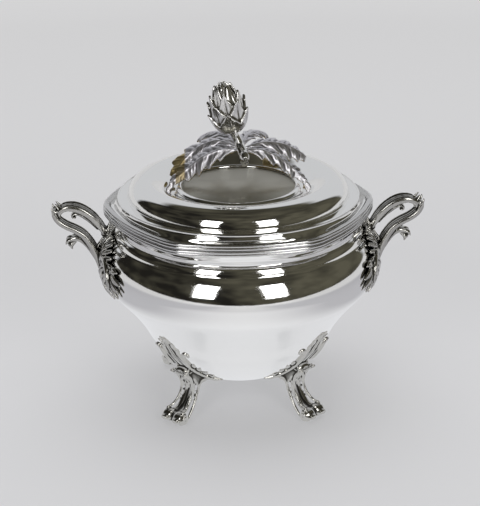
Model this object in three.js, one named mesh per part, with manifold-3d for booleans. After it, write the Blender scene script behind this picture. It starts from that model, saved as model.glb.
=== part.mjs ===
// Round silver-plated soup tureen with a lift-off cover, Louis XV style.
// A spun bowl on four cast feet, two cast scroll handles, a contoured reeded rim, and a stepped
// cover whose finial is an artichoke bud on a spray of leaves. Millimetres, +Z up, origin on the
// table under the middle of the bowl, front towards -Y, handles along X.

import * as THREE from 'three';
import { mergeVertices } from 'three/addons/utils/BufferGeometryUtils.js';
import Module from 'manifold-3d';

const wasm = await Module();
wasm.setup();

// Driving dimensions of the rim, shared by the bowl and the cover
const rimRadius = 125;        // outer radius at the six cusps
const lobeSag = 0.055;        // how far the middle of a lobe lies inside the cusp circle, as a share
const cuspNotch = 1.4;        // depth of the small notch at each cusp
const rimCount = 6;           // lobes round the rim
const rimZ = 187;             // top of the bowl's flange
const fit = 0.3;              // clearance between pieces that are soldered or rest on each other

// Driving dimensions of the bowl
const wall = 1.6;             // sheet of the bowl
const baseRadius = 48;        // flat underside
const baseZ = 34;             // height of the underside over the table
const bellyRadius = 126.3;
const bellyZ = 138;
const shoulderZ = 164.7;      // crease where the belly ends under the collar
const collarWidth = 5;        // how far the rounded collar draws in
const collarHeight = 9.3;     // from the crease up to the foot of the neck
const neckFlare = 9.4;        // how far the neck spreads from its foot to its top
const rimWidth = 5.4;         // from the neck's top to the outside of the moulding
const flangeWidth = 1.6;      // turned-out edge of the neck
const rimHeight = 5.3;        // outer face of the bowl's reeded moulding
const neckTopRadius = rimRadius - rimWidth;
const neckRadius = neckTopRadius - neckFlare;
const neckZ = shoulderZ + collarHeight;
const shoulderRadius = neckRadius + collarWidth;

// Driving dimensions of the cover
const coverWall = 1.5;
const coverEdgeHeight = 5.2;  // outer face of the cover's reeded moulding
const edgeWidth = 7;          // from the outer edge in to the groove
const coveWidth = 7.5;        // from the groove in to the small step at the foot of the dome
const stepRise = 8.3;         // from the groove up to the step
const ledgeRise = 0.3;        // from the step's edge up to the flat ledge round the dome
const stepWidth = 9.2;        // from the step's edge in to the foot of the dome's wall
const crestWidth = 17.3;      // from the foot of the wall in to the highest ring
const crestRise = 16.3;       // from the step up to the crest
const discRadius = 51.8;      // flat centre disc
const dishDrop = 10.3;        // from the crest down to the dish round the disc
const discRise = 0.7;         // from the dish up to the disc
const beadWidth = 4.8;        // applied ring round the disc
const beadHeight = 2.6;
const bezelInset = 3.5;       // locating ring under the cover, from the step's edge in to it
const bezelDepth = 19;
const bezelWall = 1.4;
const grooveRadius = rimRadius - edgeWidth;
const stepRadius = grooveRadius - coveWidth;
const domeRadius = stepRadius - stepWidth;
const crestRadius = domeRadius - crestWidth;
const bezelRadius = stepRadius - bezelInset;

// Driving dimensions of the feet
const footCount = 4;
const footAngle = 45;         // first foot, degrees from +X
const toeRadius = 90;         // distance of the toe roll from the middle
const rollRadius = 6.5;
const rollWidth = 20;
const padCut = 0.5;           // how much of the roll is filed flat at the table
const legTop = 58;            // where the leg runs into the bowl
const legThickness = 9.2;     // through its thin part, front to back
const legWidth = 14;
const shieldTop = 101;        // tip of the leaf shield over the leg
const shieldLow = 41.5;
const shieldReach = 31;       // tips of its wings to each side
const shieldThickness = 3;

// Driving dimensions of the handles
const handleReach = 169;      // furthest point of the scroll from the middle
const handleTopZ = 193;       // centre line of the scroll at its top
const handleLowZ = 118;       // where the scroll and its mount begin on the belly
const strapWidth = 16;
const strapThickness = 5.6;
const mountTop = 163;
const mountReach = 77;        // leaf tips of the mount to each side
const mountThickness = 3.2;

// Driving dimensions of the finial
const hubHeight = 35;         // leaf hub over the centre disc
const leafReach = 63;         // tips of the leaves from the middle
const leafThickness = 1.8;
const stemRadius = 4.2;
const budRadius = 16;
const budHeight = 42;
const budTilt = 12;           // degrees, towards -X
const leafHalfWidth = 15;     // of the broadest leaf
const padReach = 61.2;        // screwed pads under the two low leaves, from the middle
const lowLeaf = 8;            // a leaf whose tip is lower than this over the disc has a pad
const padRadius = 4;
const studRadius = 1.5;
const studGrip = 2.4;         // how far a stud goes into its pad
const nutRadius = 3.6;

const radians = Math.PI / 180;
const mix = (a, b, share) => a + (b - a) * share;
const part = new THREE.Group();

// A triangle mesh with merged vertices whose faces point out
function closed(geometry) {
  const plain = geometry.clone();
  for (const name of ['normal', 'uv']) plain.deleteAttribute(name);
  const merged = mergeVertices(plain, 1e-4);
  const index = [];
  for (let i = 0; i < merged.index.count; i += 3) {
    const [a, b, c] = [0, 1, 2].map((k) => merged.index.getX(i + k));
    if (a !== b && b !== c && a !== c) index.push(a, b, c);
  }
  const corner = [0, 1, 2].map(() => new THREE.Vector3());
  let volume = 0;
  for (let i = 0; i < index.length; i += 3) {
    corner.forEach((v, k) => v.fromBufferAttribute(merged.attributes.position, index[i + k]));
    volume += corner[0].dot(corner[1].clone().cross(corner[2]));
  }
  if (volume < 0) index.reverse();
  merged.setIndex(index);
  return merged;
}

function solid(geometry) {
  const merged = closed(geometry);
  return new wasm.Manifold(new wasm.Mesh({
    numProp: 3,
    vertProperties: new Float32Array(merged.attributes.position.array),
    triVerts: new Uint32Array(merged.index.array),
  }));
}

function geometryOf(manifold) {
  const mesh = manifold.getMesh();
  const geometry = new THREE.BufferGeometry();
  geometry.setAttribute('position', new THREE.BufferAttribute(mesh.vertProperties, 3));
  geometry.setIndex(new THREE.BufferAttribute(mesh.triVerts, 1));
  return geometry;
}

function add(name, geometry, finish) {
  const material = new THREE.MeshStandardMaterial({ metalness: 1, ...finish });
  const mesh = new THREE.Mesh(closed(geometry), material);
  mesh.name = name;
  part.add(mesh);
  return mesh;
}

const brightSheet = { color: 0xdcdddd, roughness: 0.06 };
const castSilver = { color: 0xb4b4b0, roughness: 0.28 };
const reedWire = { color: 0xc9cac9, roughness: 0.14 };
const brass = { color: 0xa88a4d, roughness: 0.4 };

// A solid between rings of points, closed at both ends by a fan
function loft(rings) {
  const count = rings[0].length;
  const points = rings.flat();
  const index = [];
  for (let i = 0; i + 1 < rings.length; i += 1) {
    for (let j = 0; j < count; j += 1) {
      const a = i * count + j;
      const b = i * count + ((j + 1) % count);
      index.push(a, b, b + count, a, b + count, a + count);
    }
  }
  for (const [start, flip] of [[0, true], [(rings.length - 1) * count, false]]) {
    const middle = new THREE.Vector3();
    for (let j = 0; j < count; j += 1) middle.addScaledVector(points[start + j], 1 / count);
    points.push(middle);
    for (let j = 0; j < count; j += 1) {
      const pair = [start + j, start + ((j + 1) % count)];
      if (flip) pair.reverse();
      index.push(...pair, points.length - 1);
    }
  }
  const geometry = new THREE.BufferGeometry().setFromPoints(points);
  geometry.setIndex(index);
  return geometry;
}

// A bar along a curve in the XZ plane; stations are [x, z, half thickness, half width]
function bar(stations, steps, sides, grow = 0) {
  const path = new THREE.CatmullRomCurve3(
    stations.map(([x, z]) => new THREE.Vector3(x, 0, z)), false, 'centripetal');
  const rings = [];
  for (let i = 0; i <= steps; i += 1) {
    const share = i / steps;
    const place = share * (stations.length - 1);
    const first = Math.min(Math.floor(place), stations.length - 2);
    const half = [2, 3].map((k) => (
      mix(stations[first][k], stations[first + 1][k], place - first) + grow));
    const centre = path.getPoint(share);
    const along = path.getTangent(share);
    const across = new THREE.Vector3(-along.z, 0, along.x);
    const ring = [];
    for (let j = 0; j < sides; j += 1) {
      const turn = ((j + 0.5) / sides) * 2 * Math.PI;
      const point = centre.clone().addScaledVector(across, Math.cos(turn) * half[0]);
      point.y += Math.sin(turn) * half[1];
      ring.push(point);
    }
    rings.push(ring);
  }
  return loft(rings);
}

// A turned solid about Z from points [radius, z]
function turned(points, segments) {
  const profile = points.map(([radius, z]) => new THREE.Vector2(Math.max(radius, 0), z));
  return new THREE.LatheGeometry(profile, segments).rotateX(Math.PI / 2);
}

// Share of the cusp circle that the six-lobed outline reaches at an angle
function lobeShare(angle) {
  const pitch = (2 * Math.PI) / rimCount;
  const fromMiddle = ((angle % pitch) + pitch) % pitch - pitch / 2;
  const low = 1 - lobeSag;
  const centre = (1 - low * low) / (2 * Math.cos(pitch / 2) - 2 * low);
  const arc = low - centre;
  return centre * Math.cos(fromMiddle) + Math.sqrt(arc * arc - (centre * Math.sin(fromMiddle)) ** 2);
}

// Draws a turned form in to the lobed outline; weight(radius, z) is 0 where it stays round
function lobed(geometry, weight) {
  const position = geometry.attributes.position;
  const pitch = (2 * Math.PI) / rimCount;
  for (let i = 0; i < position.count; i += 1) {
    const [x, y, z] = [position.getX(i), position.getY(i), position.getZ(i)];
    const radius = Math.hypot(x, y);
    const share = weight(radius, z);
    if (share > 0) {
      const even = Math.atan2(y, x);
      const crowd = -0.05 * pitch * Math.sin((2 * Math.PI * even) / pitch);
      const angle = even + crowd * share;
      const cusp = Math.abs(Math.sin((rimCount * angle) / 2)) < 0.01 ? cuspNotch : 0;
      const drawn = radius * (1 + share * (lobeShare(angle) - 1)) - cusp * share;
      position.setXY(i, drawn * Math.cos(angle), drawn * Math.sin(angle));
    }
  }
  return geometry;
}

const roundSegments = 48;

// Outline of one stretch of the bowl, by shares of its width and of its height
function stretch(inner, outer, low, high, shares) {
  return new THREE.SplineCurve(shares.map(([across, up]) => new THREE.Vector2(
    mix(inner, outer, across), mix(low, high, up))));
}

const lowerBowl = stretch(baseRadius, bellyRadius, baseZ, bellyZ, [
  [0, 0], [0.19, 0.085], [0.45, 0.3], [0.575, 0.46], [0.775, 0.66], [0.965, 0.86], [1, 1],
]);
const upperBowl = stretch(shoulderRadius, bellyRadius, bellyZ, shoulderZ, [
  [1, 0], [0.868, 0.39], [0.484, 0.748], [0, 1],
]);
const collar = stretch(neckRadius, shoulderRadius, shoulderZ, neckZ, [
  [0.96, 0.075], [0.8, 0.355], [0.48, 0.656], [0.04, 0.892],
]);
const neck = stretch(neckRadius, neckTopRadius, neckZ, rimZ, [
  [0, 0], [0.16, 0.231], [0.457, 0.423], [0.766, 0.615], [1, 0.808],
]);

// A run of points moved out by an amount, to the right of the way it runs
function movedOut(points, amount) {
  return points.map((point, i) => {
    const before = points[Math.max(i - 1, 0)];
    const after = points[Math.min(i + 1, points.length - 1)];
    const along = after.clone().sub(before).normalize();
    return [point.x + along.y * amount, point.y - along.x * amount];
  });
}

// Belly and shoulder, from the underside up, then the collar and the neck above them
function bowlRuns(low, high, top) {
  return [
    [...lowerBowl.getPoints(low), ...upperBowl.getPoints(high).slice(1)],
    collar.getPoints(high - 1),
    neck.getPoints(top),
  ];
}

// Radius of the bowl's outside at a height
function bowlRadius(height) {
  const points = bowlRuns(24, 12, 8).flat();
  const next = points.findIndex((point) => point.y >= height);
  const [low, high] = [points[next - 1], points[next]];
  return mix(low.x, high.x, (height - low.y) / (high.y - low.y));
}

// A filled form of the bowl, grown by an amount, for cutting what is fixed to it
function bowlBlock(amount) {
  const [belly, ...upper] = bowlRuns(8, 3, 4).map((run) => movedOut(run, amount));
  const low = baseZ - amount;
  const body = turned([
    [0, low], [baseRadius, low], ...belly.slice(1), [0, belly.at(-1)[1]],
  ], roundSegments);
  return upper.reduce((whole, run) => {
    const foot = run[0][1] - collarWidth;
    return whole.add(solid(turned([
      [0, foot], [run[0][0], foot], ...run, [0, run.at(-1)[1]],
    ], roundSegments)));
  }, solid(body));
}

function bowlWeight(radius, z) {
  return THREE.MathUtils.smoothstep(z, neckZ, rimZ - 3);
}

function makeBowl() {
  const outer = movedOut(bowlRuns(8, 3, 4).flat(), 0);
  const inner = movedOut(bowlRuns(6, 3, 3).flat(), -wall).slice(1);
  const flangeRadius = neckTopRadius + flangeWidth;
  const points = [
    [0, baseZ], ...outer,
    [flangeRadius, rimZ - wall], [flangeRadius, rimZ],
    [neckTopRadius - 0.6, rimZ], ...inner.reverse(),
    [0, baseZ + wall],
  ];
  add('bowl_shell', lobed(turned(points, roundSegments), bowlWeight), brightSheet);
}

// Reeded wire soldered round the bowl's flange, two reeds on its outer face
function makeBowlRim() {
  const inside = neckTopRadius + 0.6;
  const flangeRadius = neckTopRadius + flangeWidth + fit;
  const top = rimZ + 3;
  const bottom = top - rimHeight;
  const reed = (top - bottom) / 2;
  const points = [
    [inside, rimZ + fit], [flangeRadius, rimZ + fit], [flangeRadius, bottom + 0.6],
    [rimRadius - 1.6, bottom], [rimRadius - 0.3, bottom + reed * 0.5],
    [rimRadius - 1.1, bottom + reed], [rimRadius, bottom + reed * 1.5],
    [rimRadius - 1.2, top], [inside, top], [inside, rimZ + fit],
  ];
  add('bowl_rim_moulding', lobed(turned(points, roundSegments), () => 1), reedWire);
  return top;
}

// Heights of the cover, each from the one below it
const rimTop = rimZ + 3;
const edgeZ = rimTop + fit;
const grooveZ = edgeZ + 2.9;
const stepZ = grooveZ + stepRise;
const ledgeZ = stepZ + ledgeRise;
const crestZ = stepZ + crestRise;
const dishZ = crestZ - dishDrop;
const discZ = dishZ + discRise;
const dishRadius = discRadius + beadWidth;

function coverWeight(radius) {
  return THREE.MathUtils.smoothstep(radius, stepRadius + 0.5, grooveRadius - 0.5);
}

const coverCove = stretch(grooveRadius, stepRadius, grooveZ, stepZ, [
  [0, 0], [0.4, 0.22], [0.85, 0.6], [1, 1],
]);
const coverRoll = stretch(domeRadius, crestRadius, ledgeZ, crestZ, [
  [0, 0], [0.046, 0.281], [0.225, 0.638], [0.549, 0.894], [1, 1],
]);
const coverDish = stretch(crestRadius, dishRadius, crestZ, dishZ, [
  [0, 0], [0.211, 0.081], [0.44, 0.325], [0.669, 0.642], [0.845, 0.87], [1, 1],
]);

// Points on the outside of the cover's sheet, from the flange in to the disc
function coverSheet() {
  return [
    ...coverCove.getPoints(3),
    new THREE.Vector2(stepRadius - ledgeRise * 2, ledgeZ),
    ...coverRoll.getPoints(7),
    ...coverDish.getPoints(5).slice(1),
    new THREE.Vector2(discRadius, discZ),
  ];
}

function makeCover() {
  const outer = coverSheet();
  const under = movedOut(outer, -coverWall);
  const points = [
    [0, discZ - coverWall], ...under.reverse(), ...movedOut(outer, 0), [0, discZ],
  ];
  return lobed(turned(points, roundSegments), coverWeight);
}

// Reeded wire soldered round the cover, resting on the bowl's rim
function makeCoverEdge() {
  const top = edgeZ + coverEdgeHeight;
  const inside = grooveRadius + fit;
  const reed = (top - edgeZ) / 2;
  const points = [
    [inside, edgeZ], [rimRadius - 1.2, edgeZ], [rimRadius, edgeZ + reed * 0.5],
    [rimRadius - 1, edgeZ + reed], [rimRadius - 0.5, edgeZ + reed * 1.5],
    [rimRadius - 2.2, top], [rimRadius - 4, top - 1.3], [rimRadius - 5, top - 0.4],
    [inside, grooveZ - 0.5], [inside, edgeZ],
  ];
  add('cover_rim_moulding', lobed(turned(points, roundSegments), () => 1), reedWire);
}

// Locating ring under the cover's step, which drops inside the mouth of the bowl
function makeBezel() {
  const top = ledgeZ - coverWall - fit;
  const bottom = top - bezelDepth;
  const inner = bezelRadius - bezelWall;
  const points = [
    [inner, bottom], [bezelRadius, bottom], [bezelRadius, top], [inner, top], [inner, bottom],
  ];
  add('cover_bezel', turned(points, roundSegments), brightSheet);
}

// Applied ring round the centre disc
function makeBead() {
  const low = dishZ + fit + 0.5;
  const inner = discRadius + fit;
  const outer = dishRadius;
  const points = [
    [inner, discZ], [outer, low - 0.4], [outer, low + beadHeight * 0.2],
    [mix(inner, outer, 0.62), low + beadHeight * 0.7], [mix(inner, outer, 0.28), low + beadHeight],
    [inner, discZ + beadHeight * 0.4], [inner, discZ],
  ];
  return turned(points, roundSegments);
}

const block = bowlBlock(fit);

// Cast leaf shield over each leg: half its outline, as shares of its reach and of its height
const shieldOutline = [
  [0.0484, 1], [0.1935, 0.9664], [0.2903, 0.8655], [0.3548, 0.7479], [0.5484, 0.7143],
  [0.7097, 0.6303], [0.6452, 0.5294], [0.4516, 0.4454], [0.4194, 0.3445], [0.5806, 0.2437],
  [0.7742, 0.1429], [1, 0.042], [0.871, 0], [0.4516, 0.0336],
].map(([across, up]) => [across * shieldReach, mix(shieldLow, shieldTop, up)]);

function extrudedAlongX(outline, from, to) {
  const both = [...outline, ...outline.map(([y, z]) => [-y, z]).reverse()];
  const shape = new THREE.Shape(both.map(([y, z]) => new THREE.Vector2(y, z)));
  const geometry = new THREE.ExtrudeGeometry(shape, { depth: to - from, bevelEnabled: false });
  const axes = new THREE.Matrix4().makeBasis(
    new THREE.Vector3(0, 1, 0), new THREE.Vector3(0, 0, 1), new THREE.Vector3(1, 0, 0));
  return geometry.applyMatrix4(axes).translate(from, 0, 0);
}

function makeFeet() {
  const shield = solid(extrudedAlongX(shieldOutline, baseRadius * 0.8, bellyRadius))
    .intersect(bowlBlock(fit + shieldThickness)).subtract(block);
  const rollZ = rollRadius - padCut;
  const half = rollWidth / 2;
  const down = [
    [0.7333, 1, 1.9565, 1.2857], [0.8, 0.7931, 1.6304, 1.2143], [0.7778, 0.6552, 1.1739, 1.0857],
    [0.7611, 0.5345, 1.0435, 1], [0.7833, 0.4052, 1, 1], [0.8389, 0.2672, 1, 1.0857],
  ].map(([out, up, thick, wide]) => [
    out * toeRadius, up * legTop, (thick * legThickness) / 2, (wide * legWidth) / 2]);
  const leg = solid(bar([
    ...down, [toeRadius - rollRadius * 1.23, rollZ + rollRadius * 0.54, legThickness / 2, half * 0.86],
    [toeRadius - rollRadius * 0.15, rollZ + rollRadius * 0.12, legThickness * 0.43, half * 0.9],
  ], 10, 6));
  const roll = solid(turned([
    [0, -half], [rollRadius - 1, -half], [rollRadius, -half + 1.2], [rollRadius, -half + 5.5],
    [rollRadius - 1.8, -half + 7.5], [rollRadius - 1.8, half - 7.5], [rollRadius, half - 5.5],
    [rollRadius, half - 1.2], [rollRadius - 1, half], [0, half],
  ], 12).rotateX(Math.PI / 2).translate(toeRadius, 0, rollZ));
  const table = solid(new THREE.BoxGeometry(60, 60, 10).translate(toeRadius, 0, -5));
  const clear = bowlBlock(fit * 2 + shieldThickness);
  const foot = leg.add(roll).subtract(table).subtract(clear);
  const names = ['rear_right', 'rear_left', 'front_left', 'front_right'];
  for (let i = 0; i < footCount; i += 1) {
    const turn = (footAngle + (360 / footCount) * i) * radians;
    add(`foot_${names[i]}`, geometryOf(foot).rotateZ(turn), castSilver);
    add(`foot_${names[i]}_shield`, geometryOf(shield).rotateZ(turn), castSilver);
  }
}

// Acanthus mount of a handle along the shoulder: half its outline, as shares of reach and height
const mountOutline = [
  [0.026, 0], [0.1558, 0.0889], [0.3117, 0.2889], [0.5195, 0.4], [0.7143, 0.4889],
  [0.8571, 0.4556], [1, 0.4889], [0.9351, 0.6667], [0.7532, 0.7556], [0.4935, 0.8667],
  [0.2987, 0.9111], [0.1169, 1],
].map(([across, up]) => [across * mountReach, mix(handleLowZ, mountTop, up)]);

function makeHandles() {
  // Stations as shares: out from the belly, rim or mount to the reach, up, thickness and width
  const placed = (from, rows) => rows.map(([out, up, thick, wide]) => [
    mix(from, handleReach, out), mix(handleLowZ, handleTopZ, up),
    (thick * strapThickness) / 2, (wide * strapWidth) / 2]);
  const rising = placed(bellyRadius, [
    [-0.1475, 0.04, 1.4286, 1], [0.0398, 0.2133, 1.5714, 1], [0.1194, 0.3733, 1.5, 1],
    [0.2272, 0.52, 1.2857, 0.975], [0.4145, 0.64, 1.0714, 0.95], [0.6019, 0.7067, 1, 0.925],
    [0.7892, 0.7667, 1, 0.925], [0.9297, 0.8667, 1, 0.95],
  ]);
  const returning = placed(rimRadius, [
    [0.8977, 0.9533, 1, 0.975], [0.75, 1, 1, 1], [0.5455, 0.98, 1, 1],
    [0.3409, 0.9333, 1, 1], [0.1591, 0.84, 1, 0.95],
  ]);
  const seat = Math.max(
    bowlRadius(mountTop - mountThickness), bowlRadius(rimZ - 10) + mountThickness * 2);
  const end = placed(seat, [
    [0.1595, 0.7253, 1.0714, 0.85], [0.1474, 0.6267, 0.9286, 0.7],
  ]);
  const scroll = [...rising, ...returning, ...end];
  const leaf = placed(seat, [
    [-0.0255, 0.7867, 0.5, 0.45], [0.0046, 0.72, 0.7857, 0.7], [0.0348, 0.64, 0.9286, 0.825],
    [0.0549, 0.56, 1, 0.875], [0.075, 0.4667, 0.9286, 0.875],
  ]);
  const spur = placed(bellyRadius, [
    [0.0867, 0.28, 0.8571, 0.75], [0.2272, 0.3867, 0.9286, 0.75], [0.3911, 0.52, 0.8571, 0.75],
    [0.5316, 0.58, 0.7857, 0.7], [0.6604, 0.5533, 0.6786, 0.625], [0.6838, 0.5, 0.4286, 0.5],
  ]);
  const mount = solid(extrudedAlongX(mountOutline, baseRadius, handleReach))
    .intersect(bowlBlock(fit + mountThickness)).subtract(block);
  const clear = bowlBlock(fit * 2 + mountThickness);
  const neckLeaf = solid(bar(leaf, 8, 8)).subtract(clear);
  const strap = solid(bar(scroll, 26, 8)).subtract(clear).subtract(solid(bar(leaf, 8, 8, fit)));
  const under = solid(bar(spur, 10, 8)).subtract(solid(bar(scroll, 26, 8, fit))).subtract(clear);
  for (const [side, turn] of [['right', 0], ['left', Math.PI]]) {
    add(`handle_${side}_scroll`, geometryOf(strap).rotateZ(turn), castSilver);
    add(`handle_${side}_spur`, geometryOf(under).rotateZ(turn), castSilver);
    add(`handle_${side}_neck_leaf`, geometryOf(neckLeaf).rotateZ(turn), castSilver);
    add(`handle_${side}_mount`, geometryOf(mount).rotateZ(turn), castSilver);
  }
}

makeBowl();
makeBowlRim();
makeFeet();
makeHandles();
makeCoverEdge();
makeBezel();
add('cover_bead_ring', makeBead(), reedWire);

// Leaves of the finial: name, direction in degrees, height of the tip over the disc as a share
// of the hub's, and half width as a share of the broadest
const leaves = [
  ['front_left', 180, 0.12, 0.867], ['left', 150, 0.4, 1], ['rear_left', 118, 0.743, 0.933],
  ['rear_right', 66, 0.8, 0.867], ['right', 28, 0.514, 1], ['front_right', 0, 0.12, 0.867],
].map(([name, angle, rise, wide]) => [name, angle, rise * hubHeight, wide * leafHalfWidth]);

// A leaf arches from the hub to its tip; its section is a shallow roof
function leafGeometry(angle, tipRise, halfWidth, grow = 0) {
  const hub = hubHeight;
  const stations = [
    [0.11, hub - leafThickness, 0.2], [0.286, hub + leafThickness / 2, 0.45],
    [0.508, mix(hub, tipRise, 0.12), 1], [0.73, mix(hub, tipRise, 0.42), 0.95],
    [0.905, mix(hub, tipRise, 0.85), 0.5], [1, tipRise, 0.12],
  ].map(([out, rise, share]) => [out * leafReach, rise, share]);
  const rings = stations.map(([out, rise, share]) => {
    const wide = halfWidth * share + grow;
    const droop = wide * 0.42;
    const thick = leafThickness / 2 + grow;
    return [
      [out, 0, rise + thick], [out, wide, rise - droop], [out, wide * 0.5, rise - droop * 0.5 - thick],
      [out, 0, rise - thick * 1.2], [out, -wide * 0.5, rise - droop * 0.5 - thick],
      [out, -wide, rise - droop],
    ].map(([x, y, z]) => new THREE.Vector3(x, y, z));
  });
  return loft(rings).rotateZ(angle * radians).translate(0, 0, discZ);
}

// A wedge of space about Z between two directions, in which one leaf stays
function wedge(from, to) {
  const far = leafReach * 1.6;
  const shape = new THREE.Shape();
  const middle = ((from + to) / 2) * radians;
  const inset = fit / 2 / Math.sin(((to - from) / 2) * radians);
  shape.moveTo(inset * Math.cos(middle), inset * Math.sin(middle));
  const steps = Math.ceil((to - from) / 45);
  for (let i = 0; i <= steps; i += 1) {
    const angle = mix(from, to, i / steps) * radians;
    shape.lineTo(far * Math.cos(angle), far * Math.sin(angle));
  }
  return solid(new THREE.ExtrudeGeometry(shape, { depth: 200, bevelEnabled: false })
    .translate(0, 0, discZ - 20));
}

// Stations of the branch as shares of the hub's height, and its radius as a share of the stem's
const stemStations = [
  [-0.1286, 1.4857, 0, 0.9524], [-0.0429, 1.2857, 0, 0.9524], [0.0429, 1.0857, -0.0571, 1.0476],
  [0.1, 0.9571, -0.2, 1.1429], [0.1571, 0.8286, -0.4, 1.1429], [0.1771, 0.7571, -0.5143, 1.0952],
].map(([x, rise, y, radius]) => [
  x * hubHeight, rise * hubHeight, y * hubHeight, radius * stemRadius]);

// The branch: from under the bud, through the hub, to a cut end that hangs forward
function stemGeometry(grow = 0) {
  const path = new THREE.CatmullRomCurve3(stemStations.map(([x, rise, y]) => (
    new THREE.Vector3(x, y, discZ + rise))), false, 'centripetal');
  const rings = [];
  const steps = 10;
  for (let i = 0; i <= steps; i += 1) {
    const share = i / steps;
    const place = share * (stemStations.length - 1);
    const first = Math.min(Math.floor(place), stemStations.length - 2);
    const radius = mix(stemStations[first][3], stemStations[first + 1][3], place - first);
    const along = path.getTangent(share);
    const side = new THREE.Vector3(1, 0, 0).addScaledVector(along, -along.x).normalize();
    const up = along.clone().cross(side);
    const ring = [];
    for (let j = 0; j < 8; j += 1) {
      const turn = (j / 8) * 2 * Math.PI;
      ring.push(path.getPoint(share)
        .addScaledVector(side, Math.cos(turn) * (radius + grow))
        .addScaledVector(up, Math.sin(turn) * (radius + grow)));
    }
    rings.push(ring);
  }
  return loft(rings);
}

// The bud stands on the stem's top and leans to one side
function onStem(geometry) {
  const top = stemStations[0];
  return geometry.rotateY(-budTilt * radians)
    .translate(top[0], 0, discZ + top[1] + fit);
}

// Outline of the bud: its radius at a share of its height
function budCurve(share) {
  return budRadius * Math.sqrt(Math.max(1 - ((share - 0.36) / 0.72) ** 2, 0.02));
}

// One row of scales as a cup with pointed tips that lean out
function scaleRow(inset, low, tipLow, tipHigh, count, phase) {
  const steps = count * 4;
  const thick = 1.3;
  const levels = 3;
  const grid = [];
  for (let i = 0; i < steps; i += 1) {
    const angle = (i / steps) * 2 * Math.PI + phase;
    const tip = 1 - Math.abs(((i % 4) / 4) * 2 - 1);
    const high = mix(tipLow, tipHigh, tip);
    const column = [];
    for (const back of [0, thick]) {
      for (let k = 0; k <= levels; k += 1) {
        const step = back ? levels - k : k;
        const share = mix(low, high, step / levels);
        const lean = step === levels ? tip * 1.6 : 0;
        const radius = budCurve(share) - inset - back + lean;
        column.push(new THREE.Vector3(
          radius * Math.cos(angle), radius * Math.sin(angle), share * budHeight));
      }
    }
    grid.push(column);
  }
  return ringOf(grid);
}

// A closed ring from columns of points that each go once round the section
function ringOf(grid) {
  const count = grid[0].length;
  const index = [];
  for (let i = 0; i < grid.length; i += 1) {
    const next = (i + 1) % grid.length;
    for (let j = 0; j < count; j += 1) {
      const a = i * count + j;
      const b = next * count + j;
      const c = next * count + ((j + 1) % count);
      const d = i * count + ((j + 1) % count);
      index.push(a, b, c, a, c, d);
    }
  }
  const geometry = new THREE.BufferGeometry().setFromPoints(grid.flat());
  geometry.setIndex(index);
  return geometry;
}

function makeBud() {
  const core = [[0, 0]];
  for (let i = 0; i <= 7; i += 1) {
    const share = mix(0.03, 0.93, i / 7);
    core.push([Math.max(budCurve(share) - 6.2, 1.5), share * budHeight]);
  }
  core.push([0, budHeight * 0.97]);
  add('bud_core', onStem(turned(core, 12)), castSilver);
  add('bud_scales_inner', onStem(scaleRow(4, 0.3, 0.78, 1.05, 4, 0.4)), castSilver);
  add('bud_scales_middle', onStem(scaleRow(2, 0.16, 0.56, 0.86, 5, 0.2)), castSilver);
  add('bud_scales_outer', onStem(scaleRow(0, 0.04, 0.36, 0.62, 5, 0.85)), castSilver);
}

// Height of the cover's outside at a distance from the middle
function sheetHeight(radius) {
  const points = coverSheet();
  const next = points.findIndex((point) => point.x <= radius);
  const [outside, inside] = [points[next - 1], points[next]];
  return mix(outside.y, inside.y, (outside.x - radius) / (outside.x - inside.x));
}

// The space under the outside of the cover, grown by the clearance, for cutting what rests on it
function coverBlock() {
  const outer = movedOut(coverSheet(), fit);
  return solid(turned([
    [0, edgeZ], [outer[0][0], edgeZ], ...outer, [0, discZ + fit],
  ], roundSegments));
}

const padSeatZ = sheetHeight(padReach) + fit;

// Pad under the tip of a low leaf, with a blind hole for its stud
function leafPad(angle) {
  const place = (geometry) => geometry.translate(padReach, 0, 0).rotateZ(angle * radians);
  const deep = padSeatZ + studGrip + fit;
  const top = deep + leafThickness;
  const low = sheetHeight(padReach - padRadius) - coverWall;
  const clear = studRadius + fit;
  return [
    solid(place(turned([[0, low], [padRadius, low], [padRadius * 0.75, top], [0, top]], 12))),
    solid(place(turned([[0, low], [clear, low], [clear, deep], [0, deep]], 12))),
  ];
}

function makeFinial() {
  const stem = solid(stemGeometry());
  add('finial_stem', geometryOf(stem), castSilver);
  const clear = solid(stemGeometry(fit)).add(coverBlock());
  leaves.forEach(([name, angle, tipRise, halfWidth], i) => {
    const before = leaves[(i + leaves.length - 1) % leaves.length][1];
    const after = leaves[(i + 1) % leaves.length][1];
    const from = angle - ((((angle - after) % 360) + 360) % 360) / 2;
    const to = angle + ((((before - angle) % 360) + 360) % 360) / 2;
    let body = solid(leafGeometry(angle, tipRise, halfWidth))
      .intersect(wedge(Math.max(from, angle - 60), Math.min(to, angle + 60)))
      .subtract(clear);
    if (tipRise < lowLeaf) {
      const [pad, hole] = leafPad(angle);
      body = body.add(pad.subtract(clear)).subtract(hole);
    }
    add(`leaf_${name}`, geometryOf(body), castSilver);
  });
}

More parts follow.
